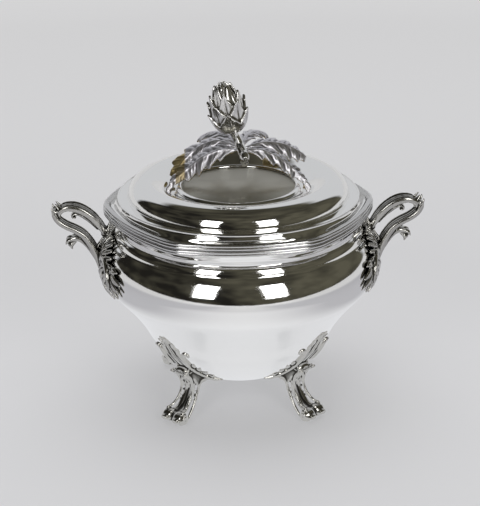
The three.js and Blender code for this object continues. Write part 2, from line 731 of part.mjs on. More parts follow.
// Threaded studs in the pads of the two low leaves, drawn down on the cover by washers and nuts
function makeFixings(cover) {
  const under = sheetHeight(padReach - 5) - coverWall - fit;
  const washer = 0.8;
  const nut = 3;
  const bottom = under - washer - nut - 2;
  let drilled = solid(cover);
  for (const [side, sign] of [['left', -1], ['right', 1]]) {
    const place = (geometry) => geometry.translate(sign * padReach, 0, 0);
    const clear = studRadius + fit;
    const top = padSeatZ + studGrip;
    const stud = turned([[0, bottom], [studRadius, bottom], [studRadius, top], [0, top]], 12);
    const hole = turned([[0, bottom], [clear, bottom], [clear, top], [0, top]], 12);
    drilled = drilled.subtract(solid(place(hole)));
    const ring = (outer, low, high, sides) => place(turned([
      [clear, low], [outer, low], [outer, high], [clear, high], [clear, low],
    ], sides));
    add(`finial_stud_${side}`, place(stud), brass);
    add(`finial_washer_${side}`, ring(nutRadius + 1, under - washer, under, 12), brass);
    add(`finial_nut_${side}`, ring(nutRadius, under - washer - nut, under - washer, 12), brass);
  }
  add('cover_shell', geometryOf(drilled), brightSheet);
}

makeBud();
makeFinial();
makeFixings(makeCover());

export default part;
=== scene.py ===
"""A round silver-plated soup tureen with its cover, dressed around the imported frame."""
import math

import bmesh
import bpy
import numpy as np
from mathutils import Matrix, Vector


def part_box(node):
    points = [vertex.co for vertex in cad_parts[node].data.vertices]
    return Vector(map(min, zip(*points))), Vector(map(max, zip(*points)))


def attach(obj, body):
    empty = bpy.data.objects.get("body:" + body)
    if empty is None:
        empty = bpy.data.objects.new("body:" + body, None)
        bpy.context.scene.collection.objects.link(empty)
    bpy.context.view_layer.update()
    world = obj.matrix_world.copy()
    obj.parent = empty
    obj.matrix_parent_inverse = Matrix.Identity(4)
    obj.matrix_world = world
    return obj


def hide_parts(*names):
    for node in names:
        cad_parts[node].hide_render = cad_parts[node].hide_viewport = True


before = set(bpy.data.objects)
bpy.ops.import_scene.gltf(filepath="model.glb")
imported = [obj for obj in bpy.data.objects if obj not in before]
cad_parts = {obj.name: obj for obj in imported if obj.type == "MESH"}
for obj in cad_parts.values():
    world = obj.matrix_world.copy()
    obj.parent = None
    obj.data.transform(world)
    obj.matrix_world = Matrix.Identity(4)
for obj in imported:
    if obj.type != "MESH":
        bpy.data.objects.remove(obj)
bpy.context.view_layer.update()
scene = bpy.context.scene
scene.view_settings.view_transform = "Standard"

# The camera stands about 1.3 m away and a little to the left, looking 22 degrees down, as in
# the photograph. The long side of the 480 x 506 picture takes the sensor's 36 mm.
picture_height, sensor = 506, 36
focal_pixels, shift_pixels = 1395.8, 1
look_at, distance = Vector((0, 0, 0.1417)), 1.3
elevation, azimuth, roll = math.radians(21.92), math.radians(-2.59), math.radians(-0.6)
camera = bpy.data.objects.new("camera", bpy.data.cameras.new("camera"))
scene.collection.objects.link(camera)
camera.data.lens = focal_pixels / picture_height * sensor
camera.data.shift_x = shift_pixels / picture_height
camera.location = look_at + distance * Vector((
    math.sin(azimuth) * math.cos(elevation),
    -math.cos(azimuth) * math.cos(elevation),
    math.sin(elevation)))
aim = (look_at - camera.location).to_track_quat("-Z", "Y")
camera.rotation_euler = (aim.to_matrix() @ Matrix.Rotation(roll, 3, "Z")).to_euler()
scene.camera = camera


# The bowl is spun from sheet, silver plated and polished to a mirror that still shows fine
# wiping scratches. Its flat underside, belly and shoulder are round, and the neck above them is
# drawn out to the six lobes of the rim.
class Value:
    """A socket of a shader tree that takes part in Python sums as Math nodes."""

    def __init__(self, tree, socket):
        self.tree = tree
        self.socket = socket

    def __add__(self, other):
        return maths(self.tree, "ADD", self, other)

    def __sub__(self, other):
        return maths(self.tree, "SUBTRACT", self, other)

    def __rsub__(self, other):
        return maths(self.tree, "SUBTRACT", other, self)

    def __mul__(self, other):
        return maths(self.tree, "MULTIPLY", self, other)

    def __truediv__(self, other):
        return maths(self.tree, "DIVIDE", self, other)

    def clamp(self):
        return maths(self.tree, "MAXIMUM", maths(self.tree, "MINIMUM", self, 1), 0)

    __radd__ = __add__


def wire(tree, socket, value):
    """Links a value's socket, or sets a plain number or colour."""
    if isinstance(value, Value):
        tree.links.new(value.socket, socket)
    else:
        socket.default_value = value


def maths(tree, operation, first, second):
    made = tree.nodes.new("ShaderNodeMath")
    made.operation = operation
    wire(tree, made.inputs[0], first)
    wire(tree, made.inputs[1], second)
    return Value(tree, made.outputs[0])


def mixed(tree, share, first, second):
    """A mix of two colours."""
    made = tree.nodes.new("ShaderNodeMix")
    made.data_type = "RGBA"
    wire(tree, made.inputs[0], share)
    wire(tree, made.inputs[6], first)
    wire(tree, made.inputs[7], second)
    return Value(tree, made.outputs[2])


class Finish:
    """A material, with one method that adds any node to its tree."""

    def __init__(self, name, **constants):
        self.material = bpy.data.materials.new(name)
        self.material.use_nodes = True
        self.tree = self.material.node_tree
        self.shader = self.tree.nodes["Principled BSDF"]
        self.shader.inputs["Metallic"].default_value = 1
        for socket, value in constants.items():
            self.shader.inputs[socket.replace("_", " ")].default_value = value

    def node(self, kind, output=0, settings=None, ramp=None, **values):
        made = self.tree.nodes.new("ShaderNode" + kind)
        for key, value in (settings or {}).items():
            setattr(made, key, value)
        if ramp:
            stops = made.color_ramp.elements
            while len(stops) < len(ramp):
                stops.new(0.5)
            for stop, (place, shade) in zip(stops, ramp):
                stop.position = place
                stop.color = (shade, shade, shade, 1)
        for key, value in values.items():
            wire(self.tree, made.inputs[key.replace("_", " ")], value)
        return Value(self.tree, made.outputs[output])

    def place(self, scale=(1, 1, 1), turn=(0, 0, 0)):
        coordinates = self.node("TexCoord", output=3)
        return self.node("Mapping", Vector=coordinates, Scale=scale, Rotation=turn)

    def noise(self, scale, detail=3.0, stretch=(1, 1, 1), turn=(0, 0, 0)):
        return self.node("TexNoise", Vector=self.place(stretch, turn), Scale=scale, Detail=detail)

    def mix(self, share, first, second):
        return mixed(self.tree, share, first, second)

    def set(self, socket, value):
        wire(self.tree, self.shader.inputs[socket], value)

    def bump(self, height, distance, strength=1.0):
        self.set("Normal", self.node("Bump", Height=height, Distance=distance, Strength=strength))


def hairlines(finish, density, turns):
    """Fine wiping scratches: thin crests of a noise that is stretched along each direction."""
    thin_crest = [(0.49, 0), (0.5, 1), (0.515, 0)]
    lines = None
    for turn in turns:
        streak = finish.noise(density, 2, stretch=(1, 22, 22), turn=(0.3, turn, turn * 0.6))
        crest = finish.node("ValToRGB", Fac=streak, ramp=thin_crest)
        lines = crest if lines is None else lines + crest
    return lines.clamp()


def polished_silver(name, tint, rough):
    """A mirror with a thin film, wiping scratches and the slow unevenness of hammered sheet."""
    finish = Finish(name, Base_Color=tint)
    film = finish.noise(24, 4)
    wipes = hairlines(finish, 26, (0.2, 1.1, 2.3))
    finish.set("Roughness", rough + film * 0.035 + wipes * 0.05)
    sheet = finish.noise(9, 1)
    finish.bump(sheet + wipes * 0.012, 0.0004, 0.35)
    return finish.material


millimetre = 0.001
rim_lobes = 6


def run(points, steps):
    """Points along a smooth line through the given points, with steps points for each span."""
    knots = np.array(points, float)
    knots = np.vstack([2 * knots[0] - knots[1], knots, 2 * knots[-1] - knots[-2]])
    line = []
    for i in range(1, len(knots) - 2):
        before, start, end, after = knots[i - 1:i + 3]
        for t in np.linspace(0, 1, steps, endpoint=False):
            line.append(0.5 * (
                2 * start + (end - before) * t
                + (2 * before - 5 * start + 4 * end - after) * t ** 2
                + (3 * start - before - 3 * end + after) * t ** 3))
    line.append(knots[-2])
    return [tuple(point) for point in line]


def lobe_share(angle):
    """Radius of the six-lobed rim as a share of the circle through its cusps.

    Each lobe is an arc, and a narrow notch between two slight swells marks each cusp.
    """
    pitch = 2 * math.pi / rim_lobes
    from_cusp = (angle + pitch / 2) % pitch - pitch / 2
    from_middle = pitch / 2 - np.abs(from_cusp)
    middle_share = 0.945
    centre = (1 - middle_share * middle_share) / (2 * math.cos(pitch / 2) - 2 * middle_share)
    arc = middle_share - centre
    bulge = centre * np.cos(from_middle) + np.sqrt(arc ** 2 - (centre * np.sin(from_middle)) ** 2)
    beside = np.degrees(np.abs(from_cusp))
    shoulder = 0.001 * np.exp(-((beside - 4.2) / 2.6) ** 2)
    notch = 0.008 * np.exp(-(beside / 1.5) ** 1.3)
    return bulge + shoulder - notch


def turned(name, outline, weight, finish, body, slot, *nodes, around=768):
    """A turned piece from (radius, height) in millimetres.

    weight(radius, height) says how far each point follows the lobes. Columns crowd to the cusps.
    """
    outline = np.array(outline) * millimetre
    radius, height = outline[:, 0], outline[:, 1]
    even = np.linspace(0, 2 * math.pi, around, endpoint=False)
    pitch = 2 * math.pi / rim_lobes
    crowding = 0.09
    angle = even - crowding * pitch * np.sin(rim_lobes * even) / 2
    pull = np.array([weight(r, z) for r, z in outline / millimetre])
    share = 1 + pull[:, None] * (lobe_share(angle)[None, :] - 1)
    points = np.stack([
        radius[:, None] * share * np.cos(angle),
        radius[:, None] * share * np.sin(angle),
        np.broadcast_to(height[:, None], share.shape)], -1)
    count = len(outline)
    rows, cols = np.meshgrid(np.arange(count - 1), np.arange(around), indexing="ij")
    after = (cols + 1) % around
    faces = np.stack([rows * around + cols, rows * around + after,
                      (rows + 1) * around + after, (rows + 1) * around + cols], -1)
    return piece(name, points.reshape(-1, 3), faces.reshape(-1, 4), finish, body, slot, *nodes)


def piece(name, points, faces, finish, body, slot, *nodes, merge=True):
    """A mesh that rides on a body and stands for the CAD nodes named."""
    mesh = bpy.data.meshes.new(name)
    mesh.from_pydata(np.asarray(points).tolist(), [], np.asarray(faces).tolist())
    made = bpy.data.objects.new(name, mesh)
    scene.collection.objects.link(made)
    mesh.materials.append(finish)
    if merge:
        tidy_mesh(mesh)
    mesh.shade_smooth()
    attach(made, body)
    if nodes:
        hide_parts(*nodes)
    return made


def tidy_mesh(mesh):
    """Merges doubled points, such as those on the axis, and turns every face out."""
    work = bmesh.new()
    work.from_mesh(mesh)
    bmesh.ops.remove_doubles(work, verts=work.verts, dist=1e-6)
    bmesh.ops.recalc_face_normals(work, faces=work.faces)
    work.to_mesh(mesh)
    work.free()


def smoothstep(low, high, value):
    share = min(max((value - low) / (high - low), 0), 1)
    return share * share * (3 - 2 * share)


bright_silver = polished_silver("bright_silver", (0.93, 0.925, 0.91, 1), 0.02)

belly_radius, belly_z, shoulder_arc = 126.3, 138, 37.7
neck_z, neck_top_radius, rim_z = 174, 119.6, 187
base_z, wall = 34, 1.6
lower_bowl = run([(44, base_z), (48, base_z), (51.5, 35.2), (62.9, 42.8), (83.2, 65.2), (92.9, 82),
                  (104.6, 98.6), (118, 114.5), (123.9, 123.5), (belly_radius, belly_z)], 8)
upper_bowl = [(belly_radius - shoulder_arc + shoulder_arc * math.cos(t),
               belly_z + shoulder_arc * math.sin(t)) for t in np.radians(np.linspace(0, 45, 24))]
collar = run([(115, 165.4), (114.2, 168), (112.6, 170.8), (110.4, 173)], 6)
neck = run([(110.2, neck_z), (111.7, 177), (114.5, 179.5), (117.4, 182),
            (neck_top_radius, 184.5)], 8)
bowl_outline = lower_bowl + upper_bowl[1:] + collar + neck


def inside(line, amount):
    """A line moved in by a wall thickness."""
    line = np.array(line)
    along = np.gradient(line, axis=0)
    along /= np.linalg.norm(along, axis=1)[:, None] + 1e-9
    return [tuple(p) for p in line + np.stack([-along[:, 1], along[:, 0]], -1) * amount]


def neck_weight(radius, height):
    return smoothstep(neck_z, rim_z - 3, height)


mouth = [(121, rim_z - wall), (121.2, rim_z - 0.8), (121, rim_z), (neck_top_radius - 0.4, rim_z)]
inner = inside(bowl_outline, wall)[6:]
turned("bowl", [(0, base_z)] + bowl_outline + mouth + inner[::-1] + [(0, base_z + wall)],
       neck_weight, bright_silver, "bowl", "polished_silver", "bowl_shell")


# The rim of the bowl carries a reeded wire, silver plated, soldered round the turned-out edge.
# Its outer face is two round reeds that follow the lobes and break at each cusp.
reeded_silver = polished_silver("reeded_silver", (0.68, 0.675, 0.67, 1), 0.2)


def reeds(start, end, count, depth):
    """A row of half-round reeds between two points of a section."""
    start, end = np.array(start, float), np.array(end, float)
    along = (end - start) / count
    out = np.array([along[1], -along[0]]) / np.linalg.norm(along)
    points = []
    for i in range(count):
        for t in np.linspace(0, 1, 7)[:-1]:
            rise = out * depth * math.sin(math.pi * t) ** 0.8
            points.append(tuple(start + along * (i + t) + rise))
    return points + [tuple(end)]


def whole(radius, height):
    return 1


bowl_top = rim_z + 3
turned("bowl_rim", [(120.3, rim_z + 0.3), (121.6, rim_z + 0.3), (121.6, 185.4), (122.6, 184.7)]
       + reeds((123.4, 184.8), (124.2, 187.3), 1, 0.7)
       + reeds((124.0, 187.3), (123.8, bowl_top), 1, 0.9)
       + [(123.2, bowl_top), (120.3, bowl_top), (120.3, rim_z + 0.3)],
       whole, reeded_silver, "bowl", "reeded_silver", "bowl_rim_moulding")


# Each foot is one silver-plated casting: an acanthus shield that spreads over the lower bowl
# between two scrolled wings, and a channelled leg that ends in a double volute on the table.
# The four are soldered on at 45 degrees to the handles.
def unit(vectors):
    return vectors / (np.linalg.norm(vectors, axis=-1, keepdims=True) + 1e-12)


class Casting:
    """Closed bars and sheets in millimetres, melted together into one cast piece."""

    def __init__(self):
        self.points, self.faces, self.count = [], [], 0

    def rings(self, rings):
        """A solid through rings of points, closed by a fan at each end."""
        rows, around = rings.shape[:2]
        row, col = np.meshgrid(np.arange(rows - 1), np.arange(around), indexing="ij")
        after = (col + 1) % around
        square = np.stack([row * around + col, row * around + after,
                           (row + 1) * around + after, (row + 1) * around + col], -1).reshape(-1, 4)
        side = np.arange(around)
        last = rows * around
        start = np.stack([(side + 1) % around, side, np.full(around, last)], -1)
        end = np.stack([side, (side + 1) % around, np.full(around, 1)], -1)
        end[:, :2] += (rows - 1) * around
        end[:, 2] += last
        points = np.concatenate([rings.reshape(-1, 3), rings[0].mean(0)[None],
                                 rings[-1].mean(0)[None]])
        faces = np.concatenate([square[:, [0, 1, 2]], square[:, [0, 2, 3]], start, end])
        self.points.append(points)
        self.faces.append(faces + self.count)
        self.count += len(points)

    def bar(self, knots, out, groove=0.0, steps=6, sides=12):
        """A bar through (x, y, z, half width, half thickness); out is the way its face looks."""
        line = np.array(run(knots, steps))
        middle, wide, thick = line[:, :3], line[:, 3], line[:, 4]
        along = unit(np.gradient(middle, axis=0))
        face = out(middle) if callable(out) else np.broadcast_to(np.array(out, float), middle.shape)
        across = unit(np.cross(along, face))
        face = np.cross(across, along)
        turn = np.linspace(0, 2 * math.pi, sides, endpoint=False)
        channel = groove * np.exp(-(np.cos(turn) / 0.45) ** 2) * (np.sin(turn) > 0)
        lift = np.sin(turn) * (1 - channel)
        offset = (across[:, None] * (wide[:, None] * np.cos(turn))[..., None]
                  + face[:, None] * (thick[:, None] * lift)[..., None])
        rings = middle[:, None] + offset
        first = middle[0] - along[0] * thick[0] * 0.6 + offset[0] * 0.6
        last = middle[-1] + along[-1] * thick[-1] * 0.6 + offset[-1] * 0.6
        self.rings(np.concatenate([first[None], rings, last[None]]))

    def sheet(self, grid, thick):
        """A plate of even thickness over a grid of points."""
        down = np.gradient(grid, axis=0)
        over = np.gradient(grid, axis=1)
        normal = unit(np.cross(down, over))
        top, bottom = grid + normal * thick / 2, grid - normal * thick / 2
        self.rings(np.concatenate([top, bottom[:, ::-1]], axis=1))


def melted(casting, voxel, floor=None):
    """Points, faces, recess depth and downward look of a casting, its parts melted together."""
    mesh = bpy.data.meshes.new("raw")
    mesh.from_pydata((np.concatenate(casting.points) * millimetre).tolist(), [],
                     np.concatenate(casting.faces).tolist())
    holder = bpy.data.objects.new("raw", mesh)
    scene.collection.objects.link(holder)
    remesh = holder.modifiers.new("melt", "REMESH")
    remesh.mode = "VOXEL"
    remesh.voxel_size = voxel * millimetre
    melt = holder.evaluated_get(bpy.context.evaluated_depsgraph_get())
    shape = melt.to_mesh()
    points = np.empty(len(shape.vertices) * 3)
    shape.vertices.foreach_get("co", points)
    points = points.reshape(-1, 3)
    corners = np.empty(len(shape.loops), int)
    shape.loops.foreach_get("vertex_index", corners)
    faces = corners.reshape(-1, 4)
    edges = np.empty(len(shape.edges) * 2, int)
    shape.edges.foreach_get("vertices", edges)
    edges = edges.reshape(-1, 2)
    melt.to_mesh_clear()
    bpy.data.objects.remove(holder)

    def relaxed(values, rounds):
        """Moves each point part of the way to the middle of its neighbours."""
        ends = np.concatenate([edges[:, 0], edges[:, 1]])
        others = np.concatenate([edges[:, 1], edges[:, 0]])
        share = np.bincount(ends, minlength=len(values))[:, None]
        for _ in range(rounds):
            total = [np.bincount(ends, values[others, k], len(values)) for k in range(3)]
            values = values * 0.4 + np.stack(total, -1) / share * 0.6
        return values

    smooth_rounds, recess_rounds = 2, 14
    points = relaxed(points, smooth_rounds)
    if floor is not None:
        points[:, 2] = np.maximum(points[:, 2], floor * millimetre)
    first = points[faces[:, 2]] - points[faces[:, 0]]
    second = points[faces[:, 3]] - points[faces[:, 1]]
    flat = np.cross(first, second)
    normal = [sum(np.bincount(faces[:, k], flat[:, axis], len(points)) for k in range(4))
              for axis in range(3)]
    normal = unit(np.stack(normal, -1))
    depth = ((relaxed(points, recess_rounds) - points) * normal).sum(-1) / millimetre
    return points, faces, depth, -normal[:, 2]


def cast_piece(name, melt, turn, finish, body, *nodes):
    """A melted casting turned about Z, with its recesses and undersides kept for its finish."""
    points, faces, depth, under = melt
    cos, sin = math.cos(math.radians(turn)), math.sin(math.radians(turn))
    turned_points = points @ np.array([[cos, sin, 0], [-sin, cos, 0], [0, 0, 1]])
    made = piece(name, turned_points, faces, finish, body, "cast_silver", *nodes, merge=False)
    made.data.attributes.new("recess", "FLOAT", "POINT").data.foreach_set("value", depth)
    made.data.attributes.new("under", "FLOAT", "POINT").data.foreach_set("value", under)
    return made


def cast_finish(name, light, dark, rough, below=None, gain=5):
    """Plated casting: light on its crests, with painted shade and some tarnish in its recesses,
    which are also duller.

    gain says how soon the painted shade darkens a recess, and below is the colour of faces that
    look down.
    """
    finish = Finish(name)
    depth = finish.node("Attribute", output=2, settings={"attribute_name": "recess"})
    grain = finish.noise(260, 4)
    cloud = finish.noise(45, 3)
    # The recess mask paints shade into the hollows, where little light reaches, together with some
    # real tarnish.
    recess_shade_and_tarnish = ((depth + 0.03) * gain + (cloud - 0.5) * 0.35).clamp()
    tone = finish.mix(recess_shade_and_tarnish, light, dark)
    if below:
        under = finish.node("Attribute", output=2, settings={"attribute_name": "under"})
        tone = finish.mix(((under - 0.1) * 4).clamp(), tone, finish.mix(cloud, below, dark))
    finish.set("Base Color", tone)
    finish.set("Roughness", rough + recess_shade_and_tarnish * 0.3 + grain * 0.06)
    finish.bump(grain, 0.0002, 0.3)
    return finish.material


# The dark colour here is painted shade, with some tarnish, in the recesses of the feet and handles.
cast_silver = cast_finish("cast_silver", (0.54, 0.53, 0.5, 1), (0.05, 0.047, 0.04, 1), 0.15,
                          gain=11)
bowl_line = np.array(lower_bowl[8:] + upper_bowl[1:] + collar)  # without the flat underside
bowl_slope = unit(np.gradient(bowl_line, axis=0))


def on_bowl(across, height, lift):
    """A point on the bowl: distance round from a casting's middle, height, lift off the sheet."""
    radius = np.interp(height, bowl_line[:, 1], bowl_line[:, 0])
    over, up = (np.interp(height, bowl_line[:, 1], bowl_slope[:, k]) for k in (0, 1))
    angle = across / radius
    out = radius + up * lift
    return out * math.cos(angle), out * math.sin(angle), height - over * lift


def bowl_face(points):
    """The way the bowl looks at points on it."""
    over, up = (np.interp(points[:, 2], bowl_line[:, 1], bowl_slope[:, k]) for k in (0, 1))
    angle = np.arctan2(points[:, 1], points[:, 0])
    return np.stack([up * np.cos(angle), up * np.sin(angle), -over], -1)


def lobe(casting, knots, side=1, groove=0.0):
    """A lobe of a leaf on the bowl through (across, height, lift, half width, half thickness)."""
    casting.bar([(*on_bowl(across * side, height, lift), wide, thick)
                 for across, height, lift, wide, thick in knots], bowl_face, groove)


def volute(centre, radius, turns, start, width, thick, shrink=0.25, steps=24):
    """Knots of a scroll that winds in, in a plane of constant y."""
    knots = []
    for t in np.linspace(0, 1, steps):
        angle = math.radians(start) + turns * 2 * math.pi * t
        here = radius * (1 - (1 - shrink) * t)
        knots.append((centre[0] + here * math.cos(angle), centre[1],
                      centre[2] + here * math.sin(angle), width, thick * (1 - 0.4 * t)))
    return knots


cast_voxel, fine_voxel = 0.6, 0.5
toe_x, toe_z = 89.6, 6.3
foot = Casting()
lobe(foot, [(0, 47, 1, 9, 2.2), (0, 57, 1.2, 8.5, 2), (0, 67.4, 1.4, 7.6, 2),
            (0, 77.8, 1.6, 6, 1.9), (0, 86.5, 1.8, 4, 1.7), (0, 91.8, 2.2, 2, 1.4)], groove=0.75)
for side in (1, -1):
    lobe(foot, [(1.2, 63.9, 2.4, 0.8, 0.9), (1.8, 74.4, 2.8, 0.9, 1), (1.4, 84.8, 3, 0.9, 1),
                (0.5, 90.9, 3.4, 0.7, 0.9)], side)
    lobe(foot, [(1.5, 84.8, 2, 1.8, 1.3), (2.2, 90.9, 2.8, 2, 1.4), (1.6, 94.8, 3.6, 0.8, 0.8)],
         side, 0.3)
    lobe(foot, [(3.5, 77.8, 2, 2.2, 1.3), (5.8, 83.9, 2.6, 2.2, 1.5), (8.2, 88.7, 3.4, 0.8, 0.8)],
         side, 0.3)
    lobe(foot, [(5.5, 71.8, 2, 2.2, 1.3), (8, 77, 2.4, 2.2, 1.5), (10.6, 81.8, 3.2, 0.8, 0.8)],
         side, 0.3)
    lobe(foot, [(7.5, 63.9, 2, 1.6, 1.3), (7.6, 70.9, 2.2, 1.6, 1.6), (6.4, 77.8, 2.2, 1.4, 1.5),
                (4.4, 83.9, 2.2, 1.1, 1.2)], side)
    lobe(foot, [(10.5, 50.9, 2.2, 1.5, 1.6), (8.6, 55.2, 2, 1.5, 1.6), (7.6, 60.4, 2, 1.5, 1.5),
                (7.5, 65.7, 2, 1.3, 1.3)], side)
    lobe(foot, [(18.6, 74.9, 3.2, 1.6, 1.8), (18.4, 77.1, 3.4, 1.8, 2), (15.6, 77.7, 3.4, 2, 2.2),
                (13.2, 74.9, 3.4, 1.8, 2.6), (12.2, 69.1, 3.6, 1.7, 2.8), (12.6, 63, 3.6, 1.7, 2.8),
                (15, 56.5, 3.6, 1.7, 2.8), (19.5, 50.9, 3.4, 1.7, 2.6), (25, 46.8, 3, 1.5, 2.2),
                (31, 43.8, 2, 0.8, 1)], side, 0.25)
    for across, height, far, top in ((14.5, 59.6, 18.6, 65.2), (16.2, 56, 22.6, 61),
                                     (19.6, 52.6, 26.4, 56.4), (23.6, 49.6, 29.4, 51.7)):
        lobe(foot, [(across, height, 2, 2, 1.2),
                    ((across + far) / 2, (height + top) / 2 - 0.6, 2.6, 2.1, 1.5),
                    (far, top, 2.8, 1, 0.9)], side, 0.35)
    lobe(foot, [(9.6, 67.4, 1, 3.6, 1), (10.2, 60.4, 1, 3.6, 1), (12, 53.5, 1, 4, 1),
                (16, 48, 1, 4, 1)], side)
    web_top = [on_bowl(across * side, height, lift) for across, height, lift in
               ((10, 58, 2), (14, 54, 1.6), (20, 48.6, 1.4), (27, 44.6, 1.2))]
    web_low = [(80, 6.8 * side, 49), (74, 6.8 * side, 42), (69, 6.4 * side, 36),
               (66, 6.2 * side, 31)]
    grid = []
    for low, top in zip(run(web_low, 4), run(web_top, 4)):
        low, top = np.array(low), np.array(top)
        bow = np.array([-3.5, -1.5 * side, 1.5])
        grid.append([low + (top - low) * t + bow * math.sin(math.pi * t)
                     for t in np.linspace(0, 1, 9)])
    foot.sheet(np.array(grid), 1.8)
    rear = [on_bowl(31 * side, 43.4, 1.6), on_bowl(25 * side, 43.2, 2.6), (61, 17 * side, 40.4),
            (63, 10.5 * side, 37.4), (64.4, 7.4 * side, 32), (67, 6.8 * side, 23.5),
            (72, 7.4 * side, 14.5), (79, 8.6 * side, 7), (85, 9.4 * side, 2.4), (90, 9.6 * side, 1)]
    sizes = [(0.8, 0.9), (1.3, 1.3), (1.5, 1.4), (1.6, 1.5), (1.6, 1.5), (1.6, 1.5), (1.6, 1.5),
             (1.5, 1.4), (1.3, 1.2), (1, 1)]
    foot.bar([(*point, *size) for point, size in zip(rear, sizes)], (0, side, 0.2))
    front = [(84.6, 8.4 * side, 49.4), (78, 7.8 * side, 44.2), (74.4, 7.2 * side, 38),
             (73, 6.8 * side, 31.4), (74.8, 6.8 * side, 24.6), (78.6, 7.2 * side, 18.6),
             (84, 8.6 * side, 14), (toe_x, 9.6 * side, 12.6)]
    foot.bar([(*point, 1.5, 1.5) for point in front], (0, side, 0.2))
    foot.bar(volute((toe_x, 6.8 * side, toe_z), 5, 0.001, 0, 3.2, 5.6, steps=2), (0, side, 0))
    foot.bar(volute((toe_x, 10 * side, toe_z), 5.7, 1.35, 95, 0.9, 0.9, shrink=0.18), (0, side, 0))
    for height, out, far in ((44, 78.6, 5), (38.5, 74.6, 4.4), (33, 73.2, 3.6)):
        foot.bar([(out - 0.5, 0.6 * side, height + 5, 1.4, 1),
                  (out + 0.8, far * 0.6 * side, height + 2.4, 2, 1.3),
                  (out + 0.8, far * side, height - 1.6, 0.8, 0.7)], (1, 0, 0.3), groove=0.3)
for side in (1, -1):
    disc = [(toe_x, 3.4 * side, toe_z, 5.9, 5.9), (toe_x, 9.8 * side, toe_z, 6.1, 6.1)]
    foot.bar(disc, (1, 0, 0), steps=4, sides=28)
foot.bar([(89.4, -4, 6.4, 4.6, 4.6), (89.4, 4, 6.4, 4.6, 4.6)], (1, 0, 0), sides=24)
foot.bar([(79.5, 0, 50, 8.2, 3.4), (74.4, 0, 44, 7.4, 3.4), (70.6, 0, 38, 6.8, 3.2),
          (69.2, 0, 31.4, 6.4, 3.1), (71, 0, 24, 6.4, 3), (75, 0, 17, 6.8, 3),
          (80.6, 0, 11.4, 7.6, 3.2), (88, 0, 9, 8.6, 3)], (0.9, 0, 0.5), groove=0.55)
foot.bar([(77.5, 0, 49, 1.3, 1.4), (74.6, 0, 41, 1.2, 1.8), (73, 0, 33, 1, 1.4),
          (73.4, 0, 28, 0.7, 0.8)], (1, 0, 0.2))
for lift, height in ((83.6, 49.8), (82.4, 47.6)):
    foot.bar([(lift - 2.4, -8.8, height + 0.4, 0.9, 1), (lift, -4, height, 0.9, 1.1),
              (lift, 4, height, 0.9, 1.1), (lift - 2.4, 8.8, height + 0.4, 0.9, 1)], (1, 0, 0.4))
foot.bar([(72, 0, 50, 9, 3), (77, 0, 48.4, 8.4, 2.6)], (0.6, 0, 1))
foot_melt = melted(foot, cast_voxel, floor=0)
for name, turn in (("rear_right", 45), ("rear_left", 135), ("front_left", 225),
                   ("front_right", 315)):
    made = cast_piece(f"foot_{name}_casting", foot_melt, turn, cast_silver, "bowl",
                      f"foot_{name}", f"foot_{name}_shield")
    made.visible_glossy = False  # the bowl above shows no mirror image of the feet


# Each handle is a casting of two overlapping scrolls with acanthus leaves. It springs from a leafy
# mount that spreads along the shoulder, and curls back to the rim, where a leaf carries its end.
handle = Casting()


def upright(points):
    """The way a strap looks: square to its line, in the plane of the handle."""
    along = unit(np.gradient(points, axis=0))
    return np.stack([-along[:, 2], 0 * along[:, 0], along[:, 0]], -1)


def strap(line, rail):
    """A channelled strap of the handle with a rail along each edge and two ribs between."""
    depth, rib_half = 1.3, 0.9
    handle.bar([(x, 0, z, wide, thick) for x, z, wide, thick in line], upright)
    for side in (1, -1):
        handle.bar([(x, side * (wide - rail * 0.7), z, rail, thick + depth * 0.6)
                    for x, z, wide, thick in line], upright)
        handle.bar([(x, side * wide * 0.3, z, rib_half, thick + depth * 0.4)
                    for x, z, wide, thick in line], upright)


strap([(122, 119, 7.6, 2.2), (125.5, 127, 7.8, 2.4), (128.4, 136, 8, 2.4), (131.6, 145, 8, 2.2),
       (136, 155, 8, 2), (142.5, 164.5, 7.8, 1.8), (150, 170, 7.6, 1.6), (158, 174, 7.6, 1.6),
       (164.6, 179, 7.6, 1.6), (168, 184.6, 7.6, 1.6), (168.4, 189, 7.2, 1.5)], 1.3)
strap([(123.4, 166.4, 5, 1.8), (126, 171.8, 6.4, 2), (131, 178.8, 7.4, 2.2),
       (137.4, 185.2, 7.8, 2.2), (145, 190, 8, 2.2), (153, 192.2, 8, 2), (159.6, 191.4, 7.6, 1.8),
       (163.8, 187.6, 6.6, 1.6), (164.4, 183, 4.6, 1.3)], 1.3)
strap([(125.6, 131, 6.2, 1.6), (129.4, 138.4, 6.6, 1.6), (134, 147, 6.8, 1.7),
       (139, 154.6, 6.6, 1.6), (144.6, 160.2, 6.2, 1.5), (150.4, 162, 5.8, 1.4),
       (154.8, 159.8, 5.2, 1.3), (156, 156, 4, 1.1), (154.4, 153.8, 2.6, 0.9)], 1.1)
handle.bar([(129, 0, 171, 5.6, 2.4), (134.6, 0, 177.4, 6.2, 2.6), (141, 0, 182.6, 6.2, 2.6),
            (147.4, 0, 185.8, 5.6, 2), (152, 0, 184.6, 5, 1.4), (152, 0, 182, 4.4, 1.2),
            (149.4, 0, 181.6, 3.6, 1)], (-0.5, 0, 0.8))
